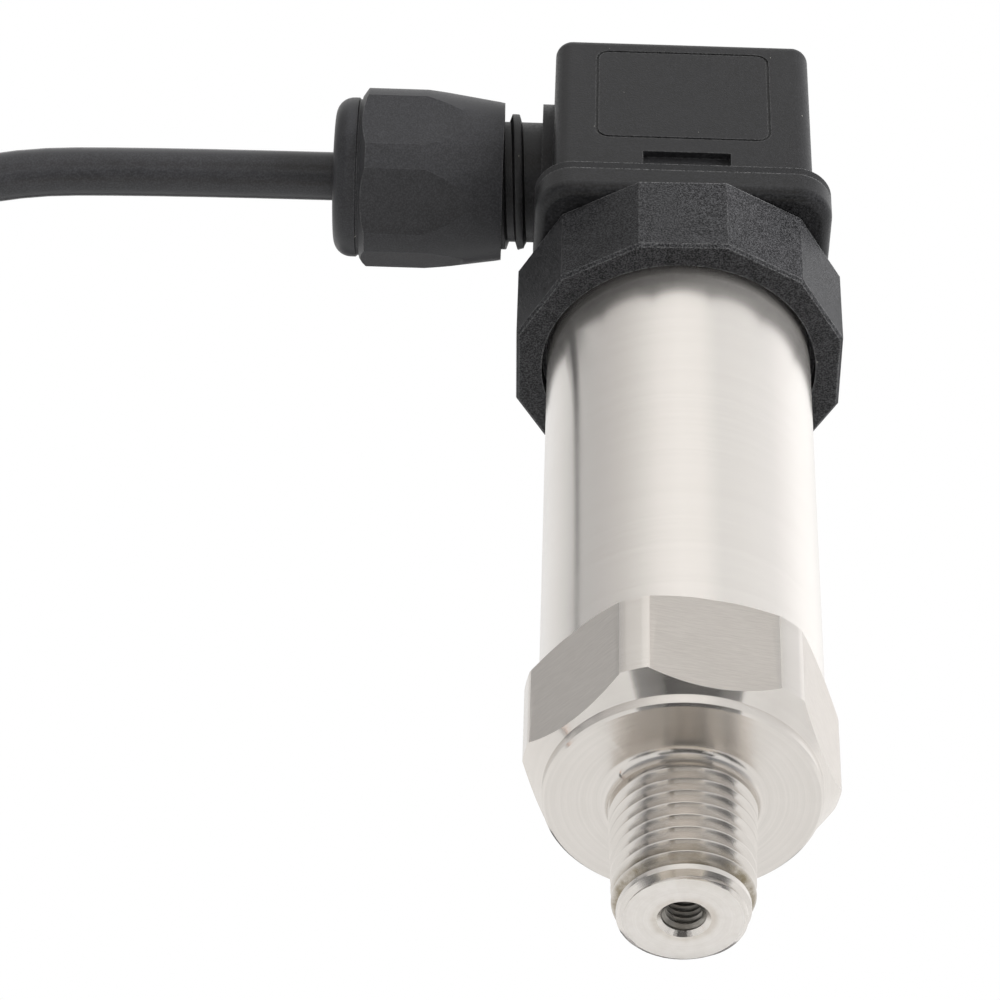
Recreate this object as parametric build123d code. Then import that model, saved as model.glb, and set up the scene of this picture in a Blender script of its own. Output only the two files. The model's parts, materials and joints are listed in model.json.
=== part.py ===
from build123d import *
import math
import os

# Pressure transmitter with a plug connector and a fixed lead. Millimetres.
# Origin: centre of the port's nose end face. +Z runs from the port to the plug,
# the cable gland looks along -X and the plug's label face along -Y.

# Process thread, 1/4-18 NPT
thread_taper = 1 / 32
thread_start_dia = 13.1
thread_start = 1.75
thread_length = 11.15
thread_lead_in = 0.15
nose_face_dia = 10.9
nose_dia = 12.24
nose_chamfer = 0.45

# Threaded bore in the nose
bore_thread_dia = 3.3
bore_thread_depth = 9.0
bore_mouth_dia = 4.9
bore_passage_dia = 2.4

# Shoulder, hexagon and spigot of the port
shoulder_height = 14.1
neck_fillet = 1.0
rim_dia = 26.0
rim_height = 1.3
rim_edge = 0.25
hex_across_flats = 27.0
hex_bar_dia = 29.8
hex_face_dia = 27.2
hex_top = 27.1
hex_turn = 10.0
hex_top_chamfer_angle = 30.0
spigot_height = 4.4

# Housing tube
tube_dia = 27.0
tube_wall = 1.5
tube_length = 53.9
tube_fit = 0.05

# Pressure cell in the port
cell_dia = 18.0
cell_thickness = 6.35
cell_edge = 0.4
cell_clearance = 0.3
cell_seat_height = 21.4
cell_lift = 0.3
o_ring_dia = 12.0
o_ring_width = 2.0
o_ring_groove_depth = 1.5
o_ring_side_room = 0.15
clamp_bore = 13.0
clamp_height = 2.6
clamp_slot_width = 2.0
clamp_slot_depth = 1.2

# Circuit board and its wiring
board_width = 16.0
board_grip = 2.6
board_thickness = 1.6
board_bottom = 34.0
pin_dia = 0.6
pin_pitch = 2.54
pin_count = 4
pin_overlap = 4.0
chip_thickness = 1.4
chips = [(-4.0, 0.24, 6.0, 6.0), (4.6, 0.27, 3.2, 5.0), (0.0, 0.51, 9.0, 4.0),
         (-5.0, 0.69, 4.0, 2.4), (4.0, 0.71, 2.6, 4.4)]
capacitor_dia = 5.2
capacitor_length = 7.0
capacitor_spot = (3.0, 0.37)
choke_size = (6.0, 3.0, 5.0)
choke_spot = (-4.0, 0.35)
lead_wire_dia = 0.9
lead_overlap = 4.0
lead_drop = 8.5
lead_straight = 1.4

# Twelve-sided collar
collar_wall = 3.15
collar_sides = 12
collar_turn = -1.1
collar_overlap = 7.4
collar_height = 9.9
collar_mouth_gap = 0.55
collar_mouth_depth = 2.0
collar_edge = 0.3
collar_snap_height = 0.8
collar_snap_depth = 0.3

# Connector base
flange_width = 30.6
flange_corner = 4.0
flange_thickness = 3.3
flange_edge = 1.2
pad_inset = 0.2
pad_height = 0.3
base_spigot_gap = 0.1
base_spigot_length = 9.6
base_seal_width = 1.8
base_seal_depth = 1.3
base_seal_drop = 4.2
seal_clearance = 0.01
tongue_width = 20.0
tongue_thickness = 6.0
tongue_length = 5.0
slot_clearance = 0.05
snap_clearance = 0.1

# Contact blades and the threaded insert of the base
blade_circle = 18.0
blade_width = 6.3
blade_thickness = 0.8
blade_height = 9.0
blade_tail = 6.0
blade_tail_width = 2.4
blade_shank = 1.0
blade_tip_chamfer = 1.2
insert_dia = 5.5
insert_length = 6.0

# Gasket
gasket_thickness = 1.0
gasket_opening = 21.6

# Plug housing
plug_width = 26.9
plug_depth = 26.8
plug_height = 23.6
plug_wall = 1.7
plug_corner = 1.8
plug_edge = 1.5
panel_width = 18.3
panel_height = 14.7
panel_corner = 1.4
panel_groove = 0.25
panel_groove_depth = 0.15
panel_centre_height = 13.95
window_width = 9.1
window_top = 4.4
window_depth = 0.8
window_offset = 0.35
screw_boss_dia = 7.0

# Fixing screw
screw_dia = 2.9
screw_head_dia = 6.0
screw_head_height = 2.2
screw_head_edge = 0.3
screw_head_room = 0.4
screw_recess_depth = 4.2
screw_hole_dia = 3.5
screw_slot_width = 1.0
screw_slot_depth = 1.1
screw_engagement = 5.4
screw_bore_clearance = 0.1
screw_seal_thickness = 1.0

# Terminal insert
terminal_width = 22.4
terminal_height = 11.6
terminal_hole_dia = 4.2
terminal_ledge = 0.2
socket_clearance = 0.1
clip_length = 8.0
clip_width = 7.4
clip_thickness = 2.4
clamp_screw_dia = 2.5
clamp_head_dia = 4.2
clamp_head_height = 1.4

# Cable gland, measured along -X from the axis of the port
gland_above_plug = 15.1
boss_dia = 16.9
boss_length = 1.2
neck_root_dia = 12.9
neck_thread_dia = 14.6
neck_relief_end = 17.0
neck_end = 25.5
neck_bore_dia = 9.6
nut_start = 18.75
nut_hex_end = 33.6
nut_end = 37.2
nut_across_flats = 18.0
nut_corner_dia = 19.4
nut_chamfer_length = 0.65
nut_chamfer_depth = 0.95
nut_front_dia = 17.1
nut_front_edge = 0.5
nut_taper_start = 27.0
nut_nose_dia = 16.6
nut_nose_round = 1.8
nut_groove_dia = 16.0
nut_groove_width = 0.7
nut_turn = 3.0
nut_thread_clearance = 0.2
nut_bore_end = 28.8
nut_hole_clearance = 0.5
seal_head_dia = 12.6
seal_head_length = 2.5
seal_body_length = 6.0
seal_fit = 0.05
slip_ring_dia = 13.6
slip_ring_thickness = 0.8

# Cable and what is on it
cable_dia = 5.2
cable_start = 12.0
core_dia = 1.5
core_rise = 1.2
core_run = 3.0
coil_radius = 26.0
coil_width = 16.6
coil_depth = 10.8
coil_corner = 4.0
coil_centre = (-97.0, -26.0, 34.0)
tie_angle = 8.0
tie_thickness = 1.1
tie_position = 200.0
tie_head = (5.2, 4.6, 4.0)
free_core_length = 26.0
ferrule_dia = 2.1
ferrule_length = 6.0
ferrule_pin_dia = 1.1
ferrule_pin_length = 6.0

# Heights and places that follow from the sizes above
rim_top = shoulder_height + rim_height
tube_bore = tube_dia - 2 * tube_wall
spigot_dia = tube_bore - 2 * tube_fit
recess_dia = cell_dia + 2 * cell_clearance
cell_bottom = cell_seat_height + cell_lift
cell_top = cell_bottom + cell_thickness
tube_top = hex_top + tube_length
collar_across_flats = tube_dia + 2 * collar_wall
collar_mouth_dia = tube_dia + 2 * collar_mouth_gap
collar_bottom = tube_top - collar_overlap
collar_top = collar_bottom + collar_height
flange_bottom = collar_top + pad_height
flange_top = flange_bottom + flange_thickness
plug_bottom = flange_top + gasket_thickness
plug_top = plug_bottom + plug_height
plug_side = plug_width / 2
gland_height = plug_bottom + gland_above_plug
screw_head_bottom = plug_top - screw_recess_depth + screw_seal_thickness
screw_tip = flange_top - screw_engagement
terminal_bottom = plug_bottom + terminal_ledge
terminal_top = terminal_bottom + terminal_height
seal_head_end = neck_end + seal_head_length
base_spigot_dia = tube_bore - 2 * base_spigot_gap
base_spigot_bottom = collar_top - base_spigot_length
tongue_bottom = base_spigot_bottom - tongue_length
board_top = tongue_bottom + board_grip
blade_spots = [(blade_circle / 2, 0, 90), (0, blade_circle / 2, 0), (-blade_circle / 2, 0, 90)]
earth_spot = (0, -blade_circle / 2, 0)

# Routes of the cable: from the gland to the coil, and out of it
lead_route = [
    (-cable_start, 0.0, gland_height),
    (-52.0, 0.0, gland_height),
    (-76.0, -0.6, 99.6),
    (-92.0, 0.4, 84.0),
    (-98.2, -0.3, 62.0),
    (-97.0, 0.0, 42.0),
    (-97.0, 0.2, 24.0),
]
tail_route = [
    (-97.0, 0.0, 38.0),
    (-96.6, 0.6, 20.0),
    (-98.4, 3.4, -1.0),
    (-96.5, 4.2, -20.0),
]


def turned(points):
    """Solid of revolution about Z from (radius, height) points."""
    outline = Plane.XZ * make_face(Polyline(*points, close=True))
    return revolve(outline, Axis.Z)


def ring(outer_dia, inner_dia, bottom, height):
    body = Cylinder(outer_dia / 2, height, align=(Align.CENTER, Align.CENTER, Align.MIN))
    hole = Cylinder(inner_dia / 2, height, align=(Align.CENTER, Align.CENTER, Align.MIN))
    return Pos(0, 0, bottom) * (body - hole)


def disc(dia, bottom, top):
    body = Cylinder(dia / 2, top - bottom, align=(Align.CENTER, Align.CENTER, Align.MIN))
    return Pos(0, 0, bottom) * body


def block(width, depth, height, bottom):
    body = Box(width, depth, height, align=(Align.CENTER, Align.CENTER, Align.MIN))
    return Pos(0, 0, bottom) * body


def along_gland(shape):
    """Put a shape built along +Z on the gland's axis, +Z turned to -X."""
    place = Plane(origin=(0, 0, gland_height), x_dir=(0, 1, 0), z_dir=(-1, 0, 0))
    return place.location * shape


def tube_along(points, dia):
    """Round bar along straight runs joined by the largest tangent arcs."""
    radii = []
    for before, corner, after in zip(points, points[1:], points[2:]):
        run_in = Vector(*corner) - Vector(*before)
        run_out = Vector(*after) - Vector(*corner)
        half_turn = math.radians(run_in.get_angle(run_out)) / 2
        radii.append(0.45 * min(run_in.length, run_out.length) / math.tan(half_turn))
    path = FilletPolyline(*points, radius=radii)
    section = Plane(origin=path @ 0, z_dir=path % 0) * Circle(dia / 2)
    solid = sweep(section, path=path)
    drift = solid.volume / (math.pi * dia ** 2 / 4 * path.length) - 1
    print("tube length", round(path.length, 1), "radii", [round(r, 1) for r in radii],
          "volume drift", round(drift, 5))
    return solid


def make_port():
    thread_end = thread_start + thread_length
    thread_end_dia = thread_start_dia + 2 * thread_taper * thread_length
    chamfer_drop = (hex_bar_dia - hex_face_dia) / 2
    chamfer_drop *= math.tan(math.radians(hex_top_chamfer_angle))
    spigot_top = hex_top + spigot_height
    outline = Plane.XZ * make_face(Polyline(
        (0, 0),
        (nose_face_dia / 2, 0),
        (nose_dia / 2, nose_chamfer),
        (nose_dia / 2, thread_start - thread_lead_in),
        (thread_start_dia / 2, thread_start),
        (thread_end_dia / 2, thread_end),
        (thread_end_dia / 2, shoulder_height),
        (rim_dia / 2 - rim_edge, shoulder_height),
        (rim_dia / 2, shoulder_height + rim_edge),
        (rim_dia / 2, rim_top),
        (hex_bar_dia / 2, rim_top + (hex_bar_dia - rim_dia) / 2),
        (hex_bar_dia / 2, hex_top - chamfer_drop),
        (hex_face_dia / 2, hex_top),
        (spigot_dia / 2, hex_top),
        (spigot_dia / 2, spigot_top),
        (0, spigot_top),
        close=True,
    ))
    neck_corner = outline.vertices().sort_by_distance((thread_end_dia / 2, 0, shoulder_height))[0]
    outline = fillet(neck_corner, neck_fillet)
    bar = revolve(outline, Axis.Z)
    flats = RegularPolygon(hex_across_flats / 2, 6, major_radius=False)
    flats = Rot(0, 0, hex_turn) * extrude(flats, hex_top - rim_top)
    keep = disc(rim_dia, 0, rim_top) + Pos(0, 0, rim_top) * flats
    keep += disc(spigot_dia, hex_top, spigot_top)
    port = bar & keep
    port -= disc(recess_dia, cell_seat_height, spigot_top)
    groove_outer = o_ring_dia + o_ring_width + 2 * o_ring_side_room
    groove_inner = o_ring_dia - o_ring_width - 2 * o_ring_side_room
    groove_floor = cell_seat_height - o_ring_groove_depth
    port -= ring(groove_outer, groove_inner, groove_floor, o_ring_groove_depth)
    port -= disc(bore_passage_dia, 0, cell_seat_height)
    port -= disc(bore_thread_dia, 0, bore_thread_depth)
    mouth_depth = (bore_mouth_dia - bore_thread_dia) / 2
    port -= turned([(0, 0), (bore_mouth_dia / 2, 0), (bore_thread_dia / 2, mouth_depth), (0, mouth_depth)])
    return port


def make_cell():
    cell = disc(cell_dia, cell_bottom, cell_top)
    return chamfer(cell.edges().filter_by(GeomType.CIRCLE), cell_edge)


def make_cell_seal():
    height = o_ring_groove_depth + cell_lift
    section = RectangleRounded(o_ring_width, height, height * 0.45)
    middle = cell_bottom - height / 2
    return revolve(Plane.XZ * (Pos(o_ring_dia / 2, middle) * section), Axis.Z)


def make_clamp_ring():
    clamp = ring(recess_dia - 2 * tube_fit, clamp_bore, cell_top, clamp_height)
    slot = block(recess_dia, clamp_slot_width, clamp_slot_depth, cell_top + clamp_height - clamp_slot_depth)
    return clamp - slot


def make_board():
    return block(board_width, board_thickness, board_top - board_bottom, board_bottom)


def make_board_parts():
    parts = []
    face = board_thickness / 2
    length = board_top - board_bottom
    for x, share, width, height in chips:
        chip = Box(width, chip_thickness, height)
        parts.append(Pos(x, -face - chip_thickness / 2, board_bottom + share * length) * chip)
    x, share = capacitor_spot
    can = Cylinder(capacitor_dia / 2, capacitor_length)
    parts.append(Pos(x, face + capacitor_dia / 2, board_bottom + share * length) * can)
    x, share = choke_spot
    parts.append(Pos(x, face + choke_size[1] / 2, board_bottom + share * length) * Box(*choke_size))
    return Compound(parts)


def make_cell_pins():
    top = board_bottom + pin_overlap
    across = (board_thickness + pin_dia) / 2
    pins = []
    for index in range(pin_count):
        x = (index - (pin_count - 1) / 2) * pin_pitch
        pins.append(Pos(x, across, 0) * disc(pin_dia, cell_top, top))
    return Compound(pins)


def make_housing_tube():
    return ring(tube_dia, tube_bore, hex_top, tube_length)


def make_collar():
    outline = RegularPolygon(collar_across_flats / 2, collar_sides, major_radius=False)
    body = extrude(outline, collar_height)
    body = chamfer(body.faces().sort_by(Axis.Z)[0].edges(), collar_edge)
    turn = 180 / collar_sides + collar_turn
    body = Pos(0, 0, collar_bottom) * Rot(0, 0, turn) * body
    body -= disc(collar_mouth_dia, collar_bottom, collar_bottom + collar_mouth_depth)
    body -= disc(tube_dia + 2 * tube_fit, collar_bottom, tube_top)
    body -= disc(tube_bore, collar_bottom, collar_top)
    snap_middle = (tube_top + collar_top) / 2
    snap_bottom = snap_middle - collar_snap_height / 2
    return body + ring(tube_bore, tube_bore - 2 * collar_snap_depth, snap_bottom, collar_snap_height)


def rounded_plate(width, depth, corner, bottom, thickness):
    plate = extrude(RectangleRounded(width, depth, corner), thickness)
    return Pos(0, 0, bottom) * plate


def make_base():
    flange = rounded_plate(flange_width, flange_width, flange_corner, flange_bottom, flange_thickness)
    lower_edges = flange.faces().sort_by(Axis.Z)[0].edges()
    base = fillet(lower_edges, flange_edge)
    base += disc(tube_dia - 2 * pad_inset, collar_top, flange_bottom)
    base += disc(base_spigot_dia, base_spigot_bottom, flange_bottom)
    base += block(tongue_width, tongue_thickness, tongue_length, tongue_bottom)
    board_slot = board_thickness + 2 * slot_clearance
    base -= block(tongue_width, board_slot, board_grip + slot_clearance, tongue_bottom)
    seal_bottom = tube_top - base_seal_drop
    base -= ring(base_spigot_dia + 1, base_spigot_dia - 2 * base_seal_depth, seal_bottom, base_seal_width)
    snap_bottom = (tube_top + collar_top) / 2 - collar_snap_height / 2 - snap_clearance
    snap_dia = tube_bore - 2 * collar_snap_depth - 2 * snap_clearance
    base -= ring(base_spigot_dia + 1, snap_dia, snap_bottom, collar_snap_height + 2 * snap_clearance)
    base -= disc(insert_dia, flange_top - insert_length, flange_top)
    for x, y, turn in blade_spots + [earth_spot]:
        base -= Pos(x, y, 0) * Rot(0, 0, turn) * make_blade()
    return base


def make_base_seal():
    bottom = tube_top - base_seal_drop
    outer = tube_bore / 2 - seal_clearance
    inner = base_spigot_dia / 2 - base_seal_depth
    section = RectangleRounded(outer - inner, base_seal_width, (outer - inner) * 0.45)
    place = Pos((outer + inner) / 2, bottom + base_seal_width / 2)
    return revolve(Plane.XZ * (place * section), Axis.Z)


def make_blade():
    tip = flange_top + blade_height
    root = flange_top - flange_thickness - blade_shank
    blade = Box(blade_width, blade_thickness, tip - root, align=(Align.CENTER, Align.CENTER, Align.MIN))
    ends = blade.edges().filter_by(Axis.Y).group_by(Axis.Z)[-1]
    blade = Pos(0, 0, root) * chamfer(ends, blade_tip_chamfer)
    tail_bottom = base_spigot_bottom - blade_tail
    tail = block(blade_tail_width, blade_thickness, root - tail_bottom, tail_bottom)
    return blade + tail


def make_contact_blades():
    return Compound([Pos(x, y, 0) * Rot(0, 0, turn) * make_blade() for x, y, turn in blade_spots])


def make_earth_blade():
    x, y, turn = earth_spot
    return Pos(x, y, 0) * Rot(0, 0, turn) * make_blade()


def make_board_leads():
    tail_bottom = base_spigot_bottom - blade_tail
    face = (board_thickness + lead_wire_dia) / 2
    leads = []
    for x, y, turn in blade_spots + [earth_spot]:
        side = -1 if y < 0 else 1
        land_x = x * 0.62 if x else 1.6 * side
        leads.append(tube_along([
            (x, y, tail_bottom),
            (x, y, tail_bottom - lead_straight),
            (x * 0.98, y * 0.85 + side * 1.5, tail_bottom - 0.45 * lead_drop),
            (land_x, side * (face + 0.1), tail_bottom - lead_drop),
            (land_x, side * face, tail_bottom - lead_drop - lead_overlap),
        ], lead_wire_dia))
    return Compound(leads)


def make_threaded_insert():
    bore = screw_dia + 2 * screw_bore_clearance
    return ring(insert_dia, bore, flange_top - insert_length, insert_length)


def make_gasket():
    plate = rounded_plate(flange_width, flange_width, flange_corner, flange_top, gasket_thickness)
    opening = rounded_plate(gasket_opening, gasket_opening, flange_corner / 2, flange_top, gasket_thickness)
    return plate - opening


def make_plug():
    shell = rounded_plate(plug_width, plug_depth, plug_corner, plug_bottom, plug_height)
    shell = fillet(shell.faces().sort_by(Axis.Z)[-1].edges(), plug_edge)
    inner_width = plug_width - 2 * plug_wall
    inner_depth = plug_depth - 2 * plug_wall
    cavity = rounded_plate(inner_width, inner_depth, plug_corner / 2, plug_bottom, plug_height - plug_wall)
    gland = make_gland_neck()
    shell = shell + gland - cavity
    shell -= along_gland(disc(neck_bore_dia, plug_side - plug_wall - 1, neck_end))
    recess_floor = plug_top - screw_recess_depth
    boss = disc(screw_boss_dia + 2 * plug_wall, recess_floor - plug_wall, plug_top - plug_wall)
    boss += disc(screw_boss_dia, terminal_top, recess_floor)
    shell += boss
    shell -= disc(screw_head_dia + 2 * screw_head_room, recess_floor, plug_top)
    shell -= disc(screw_hole_dia, terminal_top, plug_top)
    front = -plug_depth / 2
    panel = RectangleRounded(panel_width, panel_height, panel_corner)
    inset = RectangleRounded(panel_width - 2 * panel_groove, panel_height - 2 * panel_groove,
                             panel_corner - panel_groove)
    label_face = Plane(origin=(0, front, plug_bottom + panel_centre_height), x_dir=(1, 0, 0), z_dir=(0, -1, 0))
    shell -= extrude(label_face * (panel - inset), -panel_groove_depth)
    window = Box(window_width, window_depth, window_top, align=(Align.CENTER, Align.MIN, Align.MIN))
    return shell - Pos(window_offset, front, plug_bottom) * window


def make_gland_neck():
    neck = disc(neck_thread_dia, neck_relief_end, neck_end)
    neck += disc(neck_root_dia, plug_side - plug_wall, neck_end)
    neck += disc(boss_dia, plug_side - plug_wall, plug_side + boss_length)
    return along_gland(neck)


def make_terminal_insert():
    body = rounded_plate(terminal_width, terminal_width, plug_corner / 2, terminal_bottom, terminal_height)
    body -= disc(terminal_hole_dia, terminal_bottom, terminal_top)
    for x, y, turn in blade_spots + [earth_spot]:
        pocket = block(clip_width, clip_thickness, clip_length, terminal_bottom)
        pocket += disc(clamp_screw_dia, terminal_bottom + clip_length, terminal_top)
        body -= Pos(x, y, 0) * Rot(0, 0, turn) * pocket
    return body


def make_terminal_clips():
    clips = []
    for x, y, turn in blade_spots + [earth_spot]:
        clip = block(clip_width, clip_thickness, clip_length, terminal_bottom)
        room = blade_width + 2 * socket_clearance
        slot_height = flange_top + blade_height + socket_clearance - terminal_bottom
        clip -= block(room, blade_thickness + 2 * socket_clearance, slot_height, terminal_bottom)
        clips.append(Pos(x, y, 0) * Rot(0, 0, turn) * clip)
    return Compound(clips)


def make_terminal_screws():
    screws = []
    for x, y, turn in blade_spots + [earth_spot]:
        screw = disc(clamp_screw_dia, terminal_bottom + clip_length, terminal_top)
        screw += disc(clamp_head_dia, terminal_top, terminal_top + clamp_head_height)
        screws.append(Pos(x, y, 0) * screw)
    return Compound(screws)


def make_fixing_screw():
    head = disc(screw_head_dia, screw_head_bottom, screw_head_bottom + screw_head_height)
    head = chamfer(head.faces().sort_by(Axis.Z)[-1].edges(), screw_head_edge)
    shank = disc(screw_dia, screw_tip, screw_head_bottom)
    head_top = screw_head_bottom + screw_head_height
    slot = block(screw_head_dia, screw_slot_width, screw_slot_depth, head_top - screw_slot_depth)
    return head + shank - slot


def make_screw_seal():
    bore = screw_dia + 2 * screw_bore_clearance
    return ring(screw_head_dia, bore, screw_head_bottom - screw_seal_thickness, screw_seal_thickness)


def make_cable_seal():
    seal = disc(seal_head_dia, neck_end, seal_head_end)
    seal += disc(neck_bore_dia - 2 * seal_fit, neck_end - seal_body_length, neck_end)
    seal -= disc(cable_dia + 2 * seal_clearance, neck_end - seal_body_length, seal_head_end)
    return along_gland(seal)


def make_slip_ring():
    slip = ring(slip_ring_dia, cable_dia + 2 * nut_hole_clearance, seal_head_end, slip_ring_thickness)
    return along_gland(slip)


def make_gland_nut():
    turned_body = turned([
        (0, nut_start),
        (nut_front_dia / 2 - nut_front_edge, nut_start),
        (nut_front_dia / 2, nut_start + nut_front_edge),
        (nut_corner_dia / 2, nut_taper_start),
        (nut_corner_dia / 2, nut_hex_end - nut_chamfer_length),
        (nut_corner_dia / 2 - nut_chamfer_depth, nut_hex_end),
        (0, nut_hex_end),
    ])
    flats = RegularPolygon(nut_across_flats / 2, 6, major_radius=False)
    flats = Pos(0, 0, nut_start) * extrude(flats, nut_hex_end - nut_start)
    body = turned_body & flats
    groove_end = nut_hex_end + nut_groove_width
    body += disc(nut_groove_dia, nut_hex_end, groove_end)
    nose = disc(nut_nose_dia, groove_end, nut_end)
    nose = fillet(nose.faces().sort_by(Axis.Z)[-1].edges(), nut_nose_round)
    body += nose
    body -= disc(neck_thread_dia + 2 * nut_thread_clearance, nut_start, nut_bore_end)
    body -= disc(cable_dia + 2 * nut_hole_clearance, nut_bore_end, nut_end)
    return along_gland(Rot(0, 0, nut_turn) * body)


def coil_ring(width, depth, corner, angle):
    """Part of the coil's ring, its axis along X, from the top towards +Y."""
    section = Plane.XZ * (Pos(coil_radius, 0) * RectangleRounded(depth, width, corner))
    return revolve(section, Axis.Z, angle)


def at_coil(shape, turn=0):
    return Pos(*coil_centre) * Rot(0, 90, 0) * Rot(0, 0, turn) * shape


def make_coil():
    return at_coil(coil_ring(coil_width, coil_depth, coil_corner, 360))


def make_cable():
    return tube_along(lead_route, cable_dia) - make_coil()


def make_cable_end():
    return tube_along(tail_route, cable_dia) - make_coil()


def make_tie():
    outer = coil_ring(coil_width + 2 * tie_thickness, coil_depth + 2 * tie_thickness,
                      coil_corner + tie_thickness, tie_angle)
    inner = coil_ring(coil_width, coil_depth, coil_corner, tie_angle)
    band = outer - inner
    reach = coil_radius + coil_depth / 2 + tie_thickness + tie_head[2] / 2 - 0.4
    head = Rot(0, 0, tie_angle / 2) * Pos(reach, 0, 0) * Box(tie_head[2], tie_head[1], tie_head[0])
    head -= coil_ring(coil_width, coil_depth, coil_corner, 360)
    return at_coil(band + head, tie_position)


def make_plug_cores():
    """Cores from the end of the sheath to three clamp screws in the plug."""
    start = -cable_start
    landing = terminal_top + core_dia / 2
    spread = core_dia * 0.62
    head_reach = clamp_head_dia / 2 + core_dia / 2
    near = tube_along([
        (start, 0, gland_height - spread),
        (start + core_rise, 0, gland_height - spread),
        (start + core_run, -head_reach - 0.2, landing + core_rise),
        (start + core_run + 2 * core_rise, -head_reach, landing),
    ], core_dia)
    cores = [near]
    for side in (-1, 1):
        cores.append(tube_along([
            (start, side * spread, gland_height + spread / 2),
            (start + core_run, side * spread, gland_height + spread / 2),
            (start + 2.3 * core_run, side * 0.7 * blade_circle / 2, landing + core_rise),
            (-head_reach, side * (blade_circle - core_dia) / 2, landing),
        ], core_dia))
    return Compound(cores)


def free_core_paths():
    end = Vector(*tail_route[-1])
    sheath_end = Plane(origin=end, z_dir=end - Vector(*tail_route[-2]))
    paths = []
    for index in range(3):
        turn = math.radians(90 + 120 * index)
        out_x = math.cos(turn)
        out_y = math.sin(turn)
        length = free_core_length - 2.0 * index
        points = []
        for out, along in [(0.9, 0.0), (0.9, 0.3), (3.0, 0.65), (4.2, 1.0)]:
            local = (out_x * out, out_y * out, along * length)
            points.append(sheath_end.from_local_coords(local))
        paths.append(points)
    return paths


def make_free_cores():
    return Compound([tube_along([tuple(point) for point in path], core_dia) for path in free_core_paths()])


def make_ferrules():
    ferrules = []
    for path in free_core_paths():
        run = path[-1] - path[-2]
        place = Plane(origin=path[-1], z_dir=run.normalized()).location
        sleeve = disc(ferrule_dia, 0, ferrule_length)
        pin = disc(ferrule_pin_dia, ferrule_length, ferrule_length + ferrule_pin_length)
        ferrules.append(place * (sleeve + pin))
    return Compound(ferrules)


makers = {
    "pressure_port": make_port,
    "cell_seal": make_cell_seal,
    "pressure_cell": make_cell,
    "cell_clamp_ring": make_clamp_ring,
    "cell_pins": make_cell_pins,
    "circuit_board": make_board,
    "board_components": make_board_parts,
    "board_leads": make_board_leads,
    "housing_tube": make_housing_tube,
    "collar_ring": make_collar,
    "connector_base": make_base,
    "base_seal": make_base_seal,
    "contact_blades": make_contact_blades,
    "earth_blade": make_earth_blade,
    "threaded_insert": make_threaded_insert,
    "connector_gasket": make_gasket,
    "plug_housing": make_plug,
    "terminal_insert": make_terminal_insert,
    "terminal_clips": make_terminal_clips,
    "terminal_screws": make_terminal_screws,
    "fixing_screw": make_fixing_screw,
    "screw_seal": make_screw_seal,
    "cable_seal": make_cable_seal,
    "gland_slip_ring": make_slip_ring,
    "gland_nut": make_gland_nut,
    "cable": make_cable,
    "cable_coil": make_coil,
    "cable_tie": make_tie,
    "cable_end": make_cable_end,
    "plug_cores": make_plug_cores,
    "free_cores": make_free_cores,
    "core_ferrules": make_ferrules,
}

os.makedirs("parts", exist_ok=True)
for node, make in makers.items():
    export_step(make(), f"parts/{node}.step")
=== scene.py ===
import json
import math
import bmesh
import bpy
from mathutils import Matrix, Vector


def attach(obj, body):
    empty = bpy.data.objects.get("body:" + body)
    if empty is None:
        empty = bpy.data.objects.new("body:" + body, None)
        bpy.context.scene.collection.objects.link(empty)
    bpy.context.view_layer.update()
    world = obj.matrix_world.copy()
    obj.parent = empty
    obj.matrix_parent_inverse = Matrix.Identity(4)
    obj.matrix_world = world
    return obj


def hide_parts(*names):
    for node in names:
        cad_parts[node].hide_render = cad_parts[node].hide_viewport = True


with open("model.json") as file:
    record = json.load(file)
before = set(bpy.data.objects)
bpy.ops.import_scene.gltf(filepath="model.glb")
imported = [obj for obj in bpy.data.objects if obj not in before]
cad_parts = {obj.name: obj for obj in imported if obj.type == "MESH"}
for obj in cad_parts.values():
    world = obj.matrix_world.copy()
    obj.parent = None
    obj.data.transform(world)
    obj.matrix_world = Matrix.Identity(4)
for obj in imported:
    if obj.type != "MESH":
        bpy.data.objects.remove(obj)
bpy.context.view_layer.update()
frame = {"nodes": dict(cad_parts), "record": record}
nodes = frame["nodes"]
scene = bpy.context.scene
scene.view_settings.view_transform = "Standard"


def addObject(name, data):
    made = bpy.data.objects.new(name, data)
    scene.collection.objects.link(made)
    return made


# camera, looking up at the port from below and in front

cameraView = {
    "target": (-0.0178, 0.0, 0.053456),
    "distance": 0.39602,
    "below": 46.293,
    "azimuth": 0.437,
    "roll": 2.119,
    "lens": 144.0,
    "sensor": 36.0,
    "clip": (0.01, 50),
}


def placeCamera():
    below = math.radians(cameraView["below"])
    azimuth = math.radians(cameraView["azimuth"])
    roll = math.radians(cameraView["roll"])
    away = Vector((math.sin(azimuth) * math.cos(below),
                   -math.cos(azimuth) * math.cos(below), -math.sin(below)))
    right = (-away).cross(Vector((0, 0, 1))).normalized()
    up = right.cross(-away)
    side = right * math.cos(roll) + up * math.sin(roll)
    top = up * math.cos(roll) - right * math.sin(roll)
    data = bpy.data.cameras.new("photoCamera")
    data.sensor_width = cameraView["sensor"]
    data.lens = cameraView["lens"]
    data.clip_start, data.clip_end = cameraView["clip"]
    camera = addObject("photoCamera", data)
    place = Matrix((side, top, away)).transposed().to_4x4()
    place.translation = Vector(cameraView["target"]) + away * cameraView["distance"]
    camera.matrix_world = place
    scene.camera = camera


placeCamera()
print("camera placed")


# helpers shared by the pieces

# how near points count as one, or as lying on a plane or a rim
tolerance = {
    "copy": 1e-7,
    "screw": 2e-6,
    "plane": 1e-7,
    "rim": 1e-6,
}


def meshFromBmesh(name, bm):
    mesh = bpy.data.meshes.new(name)
    bm.to_mesh(mesh)
    bm.free()
    return mesh


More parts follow.
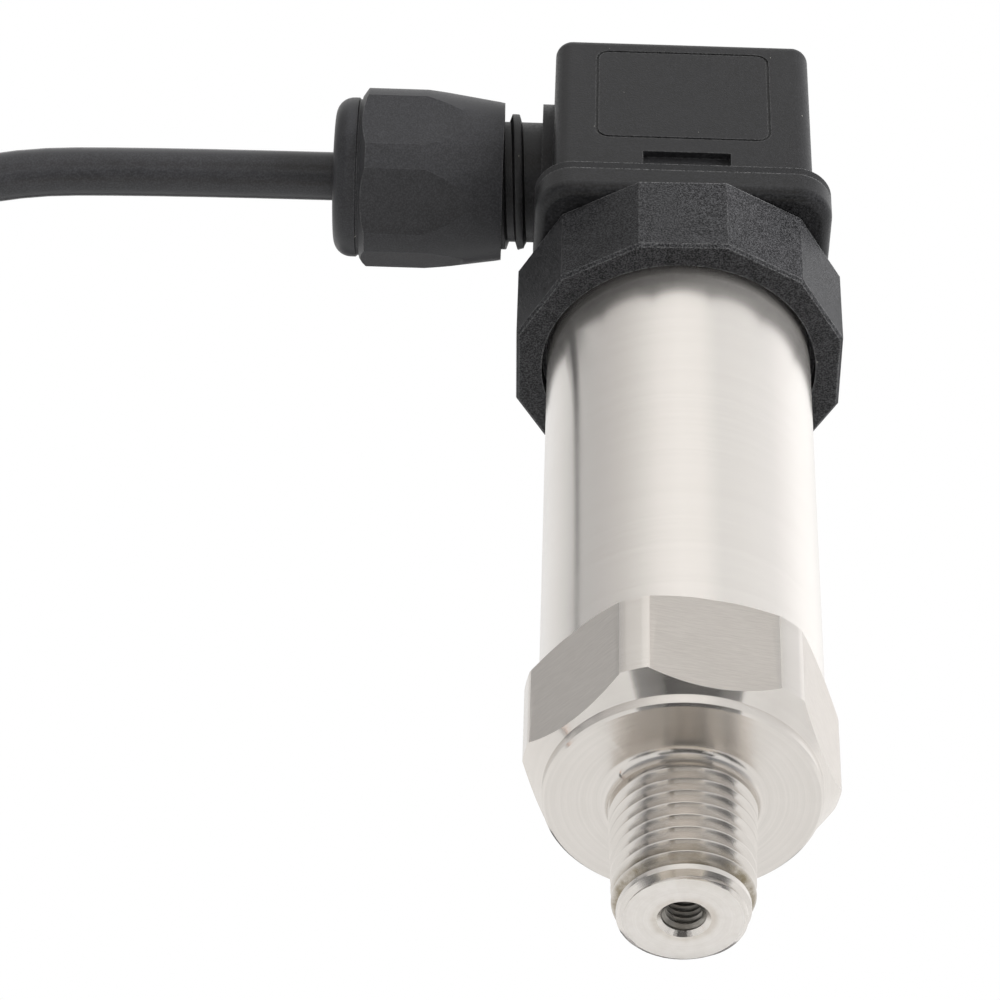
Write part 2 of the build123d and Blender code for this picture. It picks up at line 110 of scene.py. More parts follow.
def pieceFromBmesh(name, bm, smoothAngle, body="root"):
    bm.normal_update()
    mesh = meshFromBmesh(name, bm)
    if "custom_normal" in mesh.attributes:
        mesh.attributes.remove(mesh.attributes["custom_normal"])     # a changed copy gets its own shading
    for face in mesh.polygons:
        face.use_smooth = True
    mesh.set_sharp_from_angle(angle=math.radians(smoothAngle))
    piece = addObject(name, mesh)
    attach(piece, body)
    return piece


def splineCurve(name, points, diameter, bevelSteps):
    curve = bpy.data.curves.new(name, "CURVE")
    curve.dimensions = "3D"
    spline = curve.splines.new("NURBS")
    spline.points.add(len(points) - 1)
    for target, point in zip(spline.points, points):
        target.co = (*point, 1)
        target.radius = diameter / 2
    spline.order_u = 3
    spline.use_endpoint_u = True
    spline.resolution_u = 8
    curve.bevel_depth = 1.0        # each point's radius holds the real one
    curve.bevel_resolution = bevelSteps
    curve.use_fill_caps = True
    return addObject(name, curve)


# lead: out of the gland, down into a tied coil of five turns, and out again

lead = {
    "diameter": 0.0052,
    "length": 1.0,
    "out": [(-0.012, 0.0, 0.1032), (-0.052, 0.0, 0.1034), (-0.078, -0.0006, 0.1012),
            (-0.0935, 0.0004, 0.085), (-0.0982, -0.0003, 0.062), (-0.0935, 0.0026, 0.048)],
    "coilCentre": (-0.097, -0.026, 0.034),
    "outerRadius": 0.02935,
    "innerRadius": 0.02385,
    "sideStep": 0.0054,
    "pointsPerTurn": 14,
    "shiftPoints": 4,
    "slots": [(1, "outer"), (1, "inner"), (0, "inner"), (0, "outer"), (-1, "outer")],
    "tail": [(-0.1024, 0.0033, 0.034), (-0.1022, 0.0032, 0.018), (-0.0995, 0.0038, -0.001),
             (-0.0965, 0.0042, -0.020)],
}


def coilPoints():
    x0, y0, z0 = lead["coilCentre"]
    count, late = lead["pointsPerTurn"], lead["shiftPoints"]
    radii = {"outer": lead["outerRadius"], "inner": lead["innerRadius"]}
    slots = lead["slots"] + [lead["slots"][-1]]
    points = []
    for turn in range(len(lead["slots"])):
        here, following = slots[turn], slots[turn + 1]
        for step in range(count):
            share = max(0.0, (step - count + late) / late)      # a turn's last points move to the next place
            side = here[0] + (following[0] - here[0]) * share
            radius = radii[here[1]] + (radii[following[1]] - radii[here[1]]) * share
            angle = -2 * math.pi * step / count
            x = x0 + side * lead["sideStep"]
            points.append((x, y0 + radius * math.cos(angle), z0 + radius * math.sin(angle)))
    return points


def makeLead():
    points = lead["out"] + coilPoints() + lead["tail"]
    cable = splineCurve("leadCable", points, lead["diameter"], bevelSteps=7)
    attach(cable, "root")
    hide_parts("cable", "cable_coil", "cable_end")
    return cable


leadCable = makeLead()
print("lead made")


# cores at the open end of the lead, spread a little

coreEnds = {
    "diameter": 0.0015,
    "sheathEnd": (-0.0965, 0.0042, -0.020),
    "direction": (0.0019, 0.0008, -0.019),
    "lengths": (0.026, 0.024, 0.022),
    "steps": [(0.0009, 0.0), (0.0009, 0.3), (0.0030, 0.65), (0.0042, 1.0)],
    "firstTurn": 90,
    "turnStep": 120,
}


def corePlane():
    down = Vector(coreEnds["direction"]).normalized()
    right = Vector((down.z, 0, -down.x)).normalized()       # the way the CAD plane is turned
    return Vector(coreEnds["sheathEnd"]), right, down.cross(right), down


def makeFreeCores():
    end, right, across, down = corePlane()
    cores = []
    for index, length in enumerate(coreEnds["lengths"]):
        turn = math.radians(coreEnds["firstTurn"] + coreEnds["turnStep"] * index)
        out = right * math.cos(turn) + across * math.sin(turn)
        points = [end + out * reach + down * along * length for reach, along in coreEnds["steps"]]
        core = splineCurve(f"freeCore{index + 1}", points, coreEnds["diameter"], bevelSteps=4)
        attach(core, "root")
        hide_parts("free_cores")
        cores.append(core)
    return cores


# port: the CAD body with its thread's envelope turned down to the core, and real helical ridges on it

pipeThread = {
    "pitch": 0.001411,
    "crestPhase": 0.00170,
    "turnsBelow": 2.25,
    "turns": 11,
    "sweepRadius": 0.005,
    "ridgeHeight": 0.00104,
    "taper": 1 / 32,
    "startHeight": 0.00175,
    "startRadius": 0.00655,
    "noseRadius": 0.00612,
    "noseChamfer": 0.00045,
    "noseFaceRadius": 0.00545,
    "leadIn": 0.0016,
    "fadeStart": 0.0122,
    "fadeEnd": 0.0136,
    "top": 0.0129,
    "mouthRadius": 0.00245,
    "mouthDepth": 0.00042,
    "coreRadius": 0.0050,
    "coreBottom": 0.0007,
    "ledge": 0.00012,
    "stepsPerTurn": 72,
    "sharp": 40,
    "section": [(-0.5, 0.0), (-0.455, 0.0), (-0.33, 0.29), (-0.2, 0.6), (-0.07, 0.92), (-0.03, 0.99),
                (0.03, 0.99), (0.07, 0.92), (0.2, 0.6), (0.33, 0.29), (0.455, 0.0), (0.5, 0.0)],
}

boreThread = {
    "pitch": 0.0007,
    "crest": 0.00165,
    "root": 0.00203,
    "wallRoom": 0.00002,
    "mouthRoom": 0.0001,
    "turnsBelow": 2,
    "start": 0.0004,
    "end": 0.0089,
    "fade": 0.0004,
    "stepsPerTurn": 40,
    "sharp": 40,
    "section": [(-0.5, 0.0), (-0.44, 0.0), (-0.07, 1.0), (0.07, 1.0), (0.44, 0.0), (0.5, 0.0)],
}


def mergedCopy(node):
    bm = bmesh.new()
    bm.from_mesh(nodes[node].data)
    bmesh.ops.remove_doubles(bm, verts=bm.verts, dist=tolerance["copy"])
    return bm


def smoothStep(value, low, high):
    share = min(1.0, max(0.0, (value - low) / (high - low)))
    return share * share * (3 - 2 * share)


def screwSurface(section, pitch, turns, stepsPerTurn, startHeight, inner, depth):
    bm = bmesh.new()
    row = [bm.verts.new((inner + depth * out, 0, startHeight + (up + 0.5) * pitch)) for up, out in section]
    for lower, upper in zip(row, row[1:]):
        bm.edges.new((lower, upper))
    bmesh.ops.spin(bm, geom=bm.verts[:] + bm.edges[:], cent=(0, 0, 0), axis=(0, 0, 1),
                   dvec=(0, 0, pitch / stepsPerTurn), angle=2 * math.pi * turns,
                   steps=stepsPerTurn * turns, use_merge=False)
    bmesh.ops.remove_doubles(bm, verts=bm.verts, dist=tolerance["screw"])
    return bm


def cutLevel(bm, height, keepAbove):
    bmesh.ops.bisect_plane(bm, geom=bm.verts[:] + bm.edges[:] + bm.faces[:], dist=tolerance["plane"],
                           plane_co=(0, 0, height), plane_no=(0, 0, 1),
                           clear_inner=keepAbove, clear_outer=not keepAbove)


def setRadius(vert, radius):
    vert.co.xy = vert.co.xy.normalized() * radius


def fadeThread(bm, part):      # the ridge grows out of the root at its start
    for vert in bm.verts:
        fade = 1 - smoothStep(vert.co.z, part["start"], part["start"] + part["fade"])
        radius = vert.co.xy.length
        setRadius(vert, radius + (part["root"] - radius) * fade)


def pipeCrest(height):
    return pipeThread["startRadius"] + (height - pipeThread["startHeight"]) * pipeThread["taper"]


def pipeBlank(height):      # the turned shape that the thread is cut in
    part = pipeThread
    nose, face, leadIn = part["noseRadius"], part["noseFaceRadius"], part["leadIn"]
    if height < part["noseChamfer"]:
        return face + (nose - face) * height / part["noseChamfer"]
    if height < leadIn:
        return nose
    crest = pipeCrest(height)
    if height < part["startHeight"]:
        share = (height - leadIn) / (part["startHeight"] - leadIn)
        return nose + (crest - nose) * share
    return crest


def closeRim(bm, height, *steps):
    for radius, newHeight in steps:
        rim = [edge for edge in bm.edges if edge.is_boundary
               and all(abs(vert.co.z - height) < tolerance["rim"] for vert in edge.verts)]
        made = bmesh.ops.extrude_edge_only(bm, edges=rim)
        height = newHeight
        for item in made["geom"]:
            if isinstance(item, bmesh.types.BMVert):
                setRadius(item, radius)
                item.co.z = newHeight


def makePipeThread():
    part = pipeThread
    pitch = part["pitch"]
    start = part["crestPhase"] - part["turnsBelow"] * pitch       # a crest passes the front at crestPhase
    bm = screwSurface(part["section"], pitch, part["turns"], part["stepsPerTurn"], start - pitch / 2,
                      part["sweepRadius"], part["ridgeHeight"])
    cutLevel(bm, 0.0, True)
    cutLevel(bm, part["top"], False)
    for vert in bm.verts:
        height = vert.co.z
        share = (vert.co.xy.length - part["sweepRadius"]) / part["ridgeHeight"]
        fade = smoothStep(height, part["fadeStart"], part["fadeEnd"])
        radius = pipeCrest(height) - part["ridgeHeight"] * (1 - share) * (1 - fade)
        setRadius(vert, min(radius, pipeBlank(height)))
    closeRim(bm, 0.0, (part["mouthRadius"], 0.0), (boreThread["root"], part["mouthDepth"]),
             (boreThread["root"] + boreThread["mouthRoom"], part["coreBottom"]))
    closeRim(bm, part["top"], (part["coreRadius"], part["top"]))
    bmesh.ops.recalc_face_normals(bm, faces=bm.faces)
    return pieceFromBmesh("pipeThread", bm, part["sharp"])


def makeBoreThread():
    part = boreThread
    turns = math.ceil((part["end"] - part["start"]) / part["pitch"]) + 2
    bm = screwSurface(part["section"], part["pitch"], turns, part["stepsPerTurn"],
                      part["start"] - part["turnsBelow"] * part["pitch"], part["root"] + part["wallRoom"],
                      part["crest"] - part["root"])
    cutLevel(bm, part["start"], True)
    cutLevel(bm, part["end"], False)
    fadeThread(bm, part)
    bmesh.ops.recalc_face_normals(bm, faces=bm.faces)
    bmesh.ops.reverse_faces(bm, faces=bm.faces)
    return pieceFromBmesh("boreThread", bm, part["sharp"])


# where the CAD port's vertices lie that are moved under the threads
portBlank = {
    "topRoom": 0.00001,
    "threadOutside": 0.0052,
    "mouthHeight": 0.002,
    "mouthInside": 0.003,
    "mouthSqueeze": 0.1,
    "boreRadius": 0.00165,
    "boreTop": 0.0092,
    "near": 0.00002,
    "sharp": 28,
}


def makePortBody():
    bm = mergedCopy("pressure_port")
    part, blank = pipeThread, portBlank
    bmesh.ops.bisect_plane(bm, geom=bm.verts[:] + bm.edges[:] + bm.faces[:], dist=tolerance["plane"],
                           plane_co=(0, 0, part["top"] - part["ledge"]), plane_no=(0, 0, 1))
    for vert in bm.verts:
        radius, height = vert.co.xy.length, vert.co.z
        if height < part["top"] - blank["topRoom"] and radius > blank["threadOutside"]:
            setRadius(vert, part["coreRadius"])
            vert.co.z = max(height, part["coreBottom"])
        elif height < blank["mouthHeight"] and radius < blank["mouthInside"]:
            setRadius(vert, boreThread["root"] + boreThread["mouthRoom"])
            vert.co.z = part["coreBottom"] + height * blank["mouthSqueeze"]
        elif abs(radius - blank["boreRadius"]) < blank["near"] and height < blank["boreTop"]:
            setRadius(vert, boreThread["root"])
    return pieceFromBmesh("portBody", bm, blank["sharp"])


# gland thread: the first tooth shows between the plug's boss and the nut

glandThread = {
    "height": 0.1032,
    "pitch": 0.0020,
    "root": 0.00645,
    "crest": 0.00730,
    "turnsBelow": 1.5,
    "start": 0.0160,
    "crestAtTop": 0.01584,
    "end": 0.0255,
    "endRadius": 0.0062,
    "fade": 0.0004,
    "stepsPerTurn": 64,
    "sharp": 40,
    "section": [(-0.5, 0.0), (-0.32, 0.0), (-0.19, 0.95), (-0.15, 1.0),
                (0.15, 1.0), (0.19, 0.95), (0.32, 0.0), (0.5, 0.0)],
}


def turnToGland(bm):
    bmesh.ops.rotate(bm, verts=bm.verts, cent=(0, 0, 0), matrix=Matrix.Rotation(math.radians(-90), 3, "Y"))
    bmesh.ops.translate(bm, verts=bm.verts, vec=(0, 0, glandThread["height"]))


def makeGlandThread():
    part = glandThread
    turns = math.ceil((part["end"] - part["start"]) / part["pitch"]) + 2
    bm = screwSurface(part["section"], part["pitch"], turns, part["stepsPerTurn"],
                      part["crestAtTop"] - part["turnsBelow"] * part["pitch"], part["root"],
                      part["crest"] - part["root"])
    cutLevel(bm, part["start"], True)
    cutLevel(bm, part["end"], False)
    fadeThread(bm, part)
    closeRim(bm, part["end"], (part["endRadius"], part["end"]))
    bmesh.ops.recalc_face_normals(bm, faces=bm.faces)
    turnToGland(bm)
    return pieceFromBmesh("glandThread", bm, part["sharp"])


plugNeck = {
    "start": 0.0165,
    "near": 0.00003,
    "sharp": 28,
}


def makePlugShell():      # the CAD plug with its neck turned down to the thread's root
    bm = mergedCopy("plug_housing")
    for vert in bm.verts:
        across = Vector((vert.co.y, vert.co.z - glandThread["height"]))
        onThread = abs(across.length - glandThread["crest"]) < plugNeck["near"]
        if vert.co.x < -plugNeck["start"] and onThread:
            across *= glandThread["root"] / across.length
            vert.co.y, vert.co.z = across.x, across.y + glandThread["height"]
    return pieceFromBmesh("plugShell", bm, plugNeck["sharp"])


# gland nut: the CAD body turned on its thread to the photo's angle, with a fuller, rounder nose

glandNut = {
    "turn": -20.2,
    "frontEnd": 0.0190,
    "frontBetween": (0.0079, 0.0082),
    "frontRadius": 0.00845,
    "endZone": (0.0325, 0.0338),
    "endInside": 0.0070,
    "endShift": 0.0004,
    "grooveZone": (0.0335, 0.0345),
    "grooveBefore": 0.0080,
    "grooveNear": 0.00002,
    "grooveRadius": 0.0084,
    "noseStart": 0.0341,
    "noseInside": 0.0040,
    "noseBefore": 0.0083,
    "noseCore": 0.0060,
    "noseCoreEnd": 0.0362,
    "ringStart": 0.0343,
    "ringEnd": 0.03685,
    "ringRadius": 0.00857,
    "ringRound": 0.0019,
    "ringEdge": 0.00012,
    "ringBore": 0.00305,
    "boreEdge": 0.0003,
    "roundSteps": 12,
    "stepsPerTurn": 96,
    "sharp": 12,
}


def nutNoseProfile():
    part = glandNut
    low, high, outer, corner = part["ringStart"], part["ringEnd"], part["ringRadius"], part["ringRound"]
    bore, edge = part["ringBore"], part["ringEdge"]
    points = [(low, bore), (low, outer - edge), (low + edge, outer)]
    for step in range(part["roundSteps"] + 1):
        angle = math.pi / 2 * step / part["roundSteps"]
        points.append((high - corner + corner * math.sin(angle), outer - corner + corner * math.cos(angle)))
    return points + [(high, bore + part["boreEdge"]), (high - part["boreEdge"], bore)]


def makeGlandNut():
    part = glandNut
    axisHeight = glandThread["height"]
    bm = mergedCopy("gland_nut")
    for vert in bm.verts:
        along = -vert.co.x
        across = Vector((vert.co.y, vert.co.z - axisHeight))
        radius = across.length
        newRadius = radius
        if part["endZone"][0] < along < part["endZone"][1] and radius > part["endInside"]:
            along += part["endShift"]
        inGroove = part["grooveZone"][0] < along < part["grooveZone"][1]
        if inGroove and abs(radius - part["grooveBefore"]) < part["grooveNear"]:
            newRadius = part["grooveRadius"]
        elif along > part["noseStart"]:
            along = min(along, part["noseCoreEnd"])
            if radius > part["noseInside"]:
                newRadius = part["noseCore"] * radius / part["noseBefore"]
        elif along < part["frontEnd"] and part["frontBetween"][0] < radius < part["frontBetween"][1]:
            newRadius = part["frontRadius"]
        across *= newRadius / radius
        vert.co = (-along, across.x, across.y + axisHeight)
    row = [bm.verts.new((-along, radius, axisHeight)) for along, radius in nutNoseProfile()]
    edges = [bm.edges.new(pair) for pair in zip(row, row[1:] + row[:1])]
    bmesh.ops.spin(bm, geom=row + edges, cent=(0, 0, axisHeight), axis=(-1, 0, 0),
                   angle=2 * math.pi, steps=part["stepsPerTurn"], use_merge=True)
    bmesh.ops.recalc_face_normals(bm, faces=bm.faces)
    bmesh.ops.rotate(bm, verts=bm.verts, cent=(0, 0, axisHeight),
                     matrix=Matrix.Rotation(math.radians(part["turn"]), 3, "X"))
    return pieceFromBmesh("glandNut", bm, part["sharp"], "gland_nut")


# screw seal: it stays just clear of the head that turns on it

screwSealLook = {
    "gap": 0.00003,
    "sharp": 28,
}


def makeScrewSeal():
    bm = mergedCopy("screw_seal")
    middle = sum(vert.co.z for vert in bm.verts) / len(bm.verts)
    for vert in bm.verts:
        if vert.co.z > middle:
            vert.co.z -= screwSealLook["gap"]
    return pieceFromBmesh("screwSeal", bm, screwSealLook["sharp"], "screw_slide")


freeCores = makeFreeCores()
glandNutBody = makeGlandNut()
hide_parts("gland_nut")
screwSeal = makeScrewSeal()
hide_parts("screw_seal")
pipeRidges = makePipeThread()
boreRidges = makeBoreThread()
portBody = makePortBody()
faceLevel = 0.00002      # the nose's end face lies below this height
noseFaces = [face.index for face in pipeRidges.data.polygons if face.center.z < faceLevel]
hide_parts("pressure_port")
glandRidges = makeGlandThread()
plugShell = makePlugShell()
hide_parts("plug_housing")
print("threads made")


# shader groups shared by the finishes

def newGroup(name, numbersIn, numbersOut):
    group = bpy.data.node_groups.new(name, "ShaderNodeTree")
    group.interface.new_socket("Vector", in_out="INPUT", socket_type="NodeSocketVector")
    for socket, value in numbersIn.items():
        made = group.interface.new_socket(socket, in_out="INPUT", socket_type="NodeSocketFloat")
        made.default_value = value
    for socket in numbersOut:
        group.interface.new_socket(socket, in_out="OUTPUT", socket_type="NodeSocketFloat")
    start = group.nodes.new("NodeGroupInput")
    end = group.nodes.new("NodeGroupOutput")
    return group, start, end


def feed(tree, value, socket):      # a socket is linked, a number or colour is set
    if isinstance(value, bpy.types.NodeSocket):
        tree.links.new(value, socket)
    elif isinstance(value, tuple):
        socket.default_value = (*value, 1)
    else:
        socket.default_value = value


def mathNode(tree, operation, *values, clamp=False):
    node = tree.nodes.new("ShaderNodeMath")
    node.operation = operation
    node.use_clamp = clamp
    for value, socket in zip(values, node.inputs):
        feed(tree, value, socket)
    return node.outputs[0]


def productNode(tree, first, *others):
    for other in others:
        first = mathNode(tree, "MULTIPLY", first, other)
    return first


def rangeNode(tree, value, low, high, toLow=0.0, toHigh=1.0):
    node = tree.nodes.new("ShaderNodeMapRange")
    node.interpolation_type = "SMOOTHSTEP"
    sockets = ("Value", "From Min", "From Max", "To Min", "To Max")
    for number, socket in zip((value, low, high, toLow, toHigh), sockets):
        feed(tree, number, node.inputs[socket])
    return node.outputs["Result"]


def noiseNode(tree, vector, scale, detail, roughness):
    node = tree.nodes.new("ShaderNodeTexNoise")
    for value, socket in ((vector, "Vector"), (scale, "Scale"), (detail, "Detail"), (roughness, "Roughness")):
        feed(tree, value, node.inputs[socket])
    return node.outputs["Fac"]


def mixColour(tree, factor, first, second):
    node = tree.nodes.new("ShaderNodeMix")
    node.data_type = "RGBA"
    for value, index in ((factor, 0), (first, 6), (second, 7)):      # the colour inputs of this node
        feed(tree, value, node.inputs[index])
    return node.outputs[2]


def splitNode(tree, vector):
    node = tree.nodes.new("ShaderNodeSeparateXYZ")
    tree.links.new(vector, node.inputs[0])
    return node.outputs


def radiusNode(tree, x, y):
    squares = mathNode(tree, "ADD", mathNode(tree, "MULTIPLY", x, x), mathNode(tree, "MULTIPLY", y, y))
    return mathNode(tree, "SQRT", squares)


# stage: pale floor, white surroundings and soft lamps

stage = {
    "floorHeight": -0.42,
    "floorSize": 8.0,
    "floorColour": (0.84, 0.84, 0.84, 1),
    "floorRoughness": 0.9,
    "floorShine": 0.93,
    "floorGlow": 0.75,
    "worldLevel": 0.22,
    "whiteLevel": 1.0,
    "lampAim": (0, 0, 0.06),
    "bandSteps": 96,
}

lamps = [
    {"name": "keyLamp", "place": (1.0, -0.62, 0.25), "size": 0.55, "power": 38.0},
    {"name": "lowLamp", "place": (-0.05, -0.34, -0.35), "size": 0.30, "power": 1.8},
    {"name": "backLamp", "place": (-0.7, 0.9, 0.7), "size": 0.8, "power": 9.0},
    {"name": "leftLamp", "place": (-1.1, -0.35, 0.35), "size": 0.8, "power": 4.0},
]

# dark and beige things the steel sees below it, behind it and by the camera
darkCard = (0.01, 0.01, 0.012)
cards = [
    {"name": "backCard", "colour": (0.10, 0.10, 0.105), "centre": (-0.05, 1.15, 0.43),
     "size": (0.9, 0.56), "aim": (-0.05, 0.0, 0.43)},
    {"name": "cameraCard", "colour": darkCard, "centre": (0.0155, -0.283, -0.238),
     "size": (0.46, 0.17), "aim": (0.0, 0.0, 0.0)},
    {"name": "hexCard", "colour": darkCard, "centre": (-0.086, -0.120, -0.40),
     "size": (0.102, 0.03), "aim": (-0.086, -0.120, 0.0)},
    {"name": "noseCard", "colour": darkCard, "centre": (0.036, -0.2175, -0.40),
     "size": (0.248, 0.165), "aim": (0.036, -0.2175, 0.0)},
    {"name": "beigeCard", "colour": (0.62, 0.56, 0.47), "centre": (0.012, -0.0225, -0.40),
     "size": (0.27, 0.165), "aim": (0.012, -0.0225, 0.0)},
    {"name": "leftCard", "colour": darkCard, "centre": (-0.184, -0.005, -0.40),
     "size": (0.122, 0.21), "aim": (-0.184, -0.005, 0.0)},
    {"name": "rightCard", "colour": darkCard, "centre": (0.2835, -0.005, -0.40),
     "size": (0.273, 0.21), "aim": (0.2835, -0.005, 0.0)},
]

# what the steel sees all round: degrees round from the camera, right positive, and colour
bands = [
    {"name": "upperBand", "radius": 1.25, "low": 0.20, "high": 2.6, "colours": [
        (-180, (0.95, 0.94, 0.93)), (-150, (0.98, 0.98, 0.98)), (-128, (0.92, 0.92, 0.92)),
        (-112, (0.80, 0.80, 0.80)), (-98, (0.66, 0.66, 0.66)), (-85, (0.60, 0.60, 0.60)),
        (-70, (0.61, 0.60, 0.60)), (-52, (0.68, 0.67, 0.66)), (-36, (0.81, 0.80, 0.79)),
        (-20, (0.96, 0.95, 0.94)), (-3, (1.02, 1.01, 1.00)), (15, (0.97, 0.96, 0.95)),
        (31, (0.79, 0.79, 0.79)), (50, (0.80, 0.80, 0.80)), (80, (0.84, 0.84, 0.85)),
        (97, (0.99, 0.99, 1.00)), (112, (1.13, 1.13, 1.14)), (135, (1.16, 1.16, 1.16)),
        (180, (0.95, 0.94, 0.93))]},
    {"name": "lowerBand", "radius": 1.25, "low": -0.41, "high": 0.20, "colours": [
        (-180, (1.0, 1.0, 1.0)), (-120, (1.0, 1.0, 1.0)), (-95, (0.90, 0.90, 0.90)),
        (-76, (0.62, 0.62, 0.63)), (-58, (0.24, 0.25, 0.27)), (-30, (0.13, 0.14, 0.16)),
        (-17, (0.46, 0.43, 0.38)), (2, (0.62, 0.57, 0.50)), (20, (0.46, 0.43, 0.38)),
        (33, (0.14, 0.15, 0.17)), (70, (0.24, 0.25, 0.27)), (92, (0.60, 0.60, 0.61)),
        (112, (1.0, 1.0, 1.0)), (180, (1.0, 1.0, 1.0))]},
]


def addStage():
    bm = bmesh.new()
    bmesh.ops.create_grid(bm, x_segments=1, y_segments=1, size=stage["floorSize"] / 2,
                          matrix=Matrix.Translation((0, 0, stage["floorHeight"])))
    floor = addObject("floor", meshFromBmesh("floor", bm))
    material = bpy.data.materials.new("floorPaper")
    material.use_nodes = True
    tree = material.node_tree
    shader = tree.nodes["Principled BSDF"]
    shader.inputs["Base Color"].default_value = stage["floorColour"]
    shader.inputs["Roughness"].default_value = stage["floorRoughness"]
    shine = tree.nodes.new("ShaderNodeEmission")
    shine.inputs["Strength"].default_value = stage["floorShine"]
    rays = tree.nodes.new("ShaderNodeLightPath")
    blend = tree.nodes.new("ShaderNodeMixShader")
    seen = mathNode(tree, "MULTIPLY", rays.outputs["Is Camera Ray"], stage["floorGlow"])
    tree.links.new(mathNode(tree, "ADD", rays.outputs["Is Glossy Ray"], seen, clamp=True), blend.inputs[0])
    tree.links.new(shader.outputs[0], blend.inputs[1])
    tree.links.new(shine.outputs[0], blend.inputs[2])
    tree.links.new(blend.outputs[0], tree.nodes["Material Output"].inputs["Surface"])
    floor.data.materials.append(material)
    for card in cards:
        addCard(card)
    for band in bands:
        addBand(band)


def addGlow(name, bm):      # a sheet that only reflections see
    flag = addObject(name, meshFromBmesh(name, bm))
    flag.visible_camera = False
    flag.visible_diffuse = False
    flag.visible_shadow = False
    flag.visible_transmission = False
    glow = bpy.data.materials.new(name)
    glow.use_nodes = True
    shader = glow.node_tree.nodes["Principled BSDF"]
    shader.inputs["Base Color"].default_value = (0, 0, 0, 1)
    shader.inputs["Specular IOR Level"].default_value = 0.0
    shader.inputs["Emission Strength"].default_value = 1.0
    flag.data.materials.append(glow)
    return glow.node_tree, shader


def addBand(band):
    bm = bmesh.new()
    row = [bm.verts.new((0, band["radius"], height)) for height in (band["low"], band["high"])]
    bm.edges.new(row)
    bmesh.ops.spin(bm, geom=bm.verts[:] + bm.edges[:], cent=(0, 0, 0), axis=(0, 0, 1), angle=2 * math.pi,
                   steps=stage["bandSteps"], use_merge=True)
    tree, shader = addGlow(band["name"], bm)
    x, y = splitNode(tree, tree.nodes.new("ShaderNodeTexCoord").outputs["Object"])[:2]
    azimuth = mathNode(tree, "ARCTAN2", x, mathNode(tree, "MULTIPLY", y, -1.0))
    share = mathNode(tree, "ADD", mathNode(tree, "DIVIDE", azimuth, 2 * math.pi), 0.5)
    ramp = tree.nodes.new("ShaderNodeValToRGB")
    tree.links.new(share, ramp.inputs[0])
    stops = ramp.color_ramp.elements
    stops.remove(stops[1])
    for index, (angle, colour) in enumerate(band["colours"]):
        stop = stops.new(angle / 360 + 0.5) if index else stops[0]
        stop.color = (*colour, 1)
    tree.links.new(ramp.outputs["Color"], shader.inputs["Emission Color"])


def addCard(card):
    bm = bmesh.new()
    bmesh.ops.create_grid(bm, x_segments=1, y_segments=1, size=0.5)
    bmesh.ops.scale(bm, verts=bm.verts, vec=(*card["size"], 1))
    centre = Vector(card["centre"])
    turn = (Vector(card["aim"]) - centre).to_track_quat("Z", "Y").to_matrix().to_4x4()
    bmesh.ops.transform(bm, verts=bm.verts, matrix=Matrix.Translation(centre) @ turn)
    tree, shader = addGlow(card["name"], bm)
    shader.inputs["Emission Color"].default_value = (*card["colour"], 1)


def addLamps():
    for lamp in lamps:
        data = bpy.data.lights.new(lamp["name"], "AREA")
        data.size = lamp["size"]
        data.energy = lamp["power"]
        light = addObject(lamp["name"], data)
        place = Vector(lamp["place"])
        aim = Vector(stage["lampAim"]) - place
        light.matrix_world = Matrix.Translation(place) @ aim.to_track_quat("-Z", "Y").to_matrix().to_4x4()
        light.visible_camera = False
        light.visible_glossy = False      # the bands and cards are what shines in the steel


def addWorld():
    world = bpy.data.worlds.new("whiteRoom")
    scene.world = world
    world.use_nodes = True
    tree = world.node_tree
    background = tree.nodes["Background"]
    background.inputs["Color"].default_value = (1, 1, 1, 1)
    rays = tree.nodes.new("ShaderNodeLightPath")
    seen = mathNode(tree, "ADD", rays.outputs["Is Camera Ray"], rays.outputs["Is Glossy Ray"])
    seen = mathNode(tree, "ADD", seen, rays.outputs["Is Transmission Ray"], clamp=True)
    level = tree.nodes.new("ShaderNodeMix")
    level.data_type = "FLOAT"
    level.inputs["A"].default_value = stage["worldLevel"]
    level.inputs["B"].default_value = stage["whiteLevel"]
    tree.links.new(seen, level.inputs["Factor"])
    tree.links.new(level.outputs["Result"], background.inputs["Strength"])


addStage()
addLamps()
addWorld()
print("stage and lamps placed")


# effects that the finishes share

grainLook = {
    "fineDetail": (2.0, 0.6),
    "fineRange": (0.38, 0.68),
    "fineShare": 0.85,
    "coarseDetail": (4.0, 0.6),
    "coarseRange": (0.3, 0.7),
    "coarseScale": 0.13,
}


def makeGrainGroup():
    group, start, end = newGroup("mouldedGrain", {"Scale": 1500.0}, ["Grain", "Height"])
    vector, scale = start.outputs["Vector"], start.outputs["Scale"]
    look = grainLook
    fine = rangeNode(group, noiseNode(group, vector, scale, *look["fineDetail"]), *look["fineRange"])
    coarseScale = mathNode(group, "MULTIPLY", scale, look["coarseScale"])
    coarse = noiseNode(group, vector, coarseScale, *look["coarseDetail"])
    coarse = rangeNode(group, coarse, *look["coarseRange"])
    total = mathNode(group, "ADD", mathNode(group, "MULTIPLY", coarse, 1 - look["fineShare"]),
                     mathNode(group, "MULTIPLY", fine, look["fineShare"]))
    group.links.new(total, end.inputs["Grain"])
    group.links.new(fine, end.inputs["Height"])
    return group


speckStrength = (0.25, 1.0)


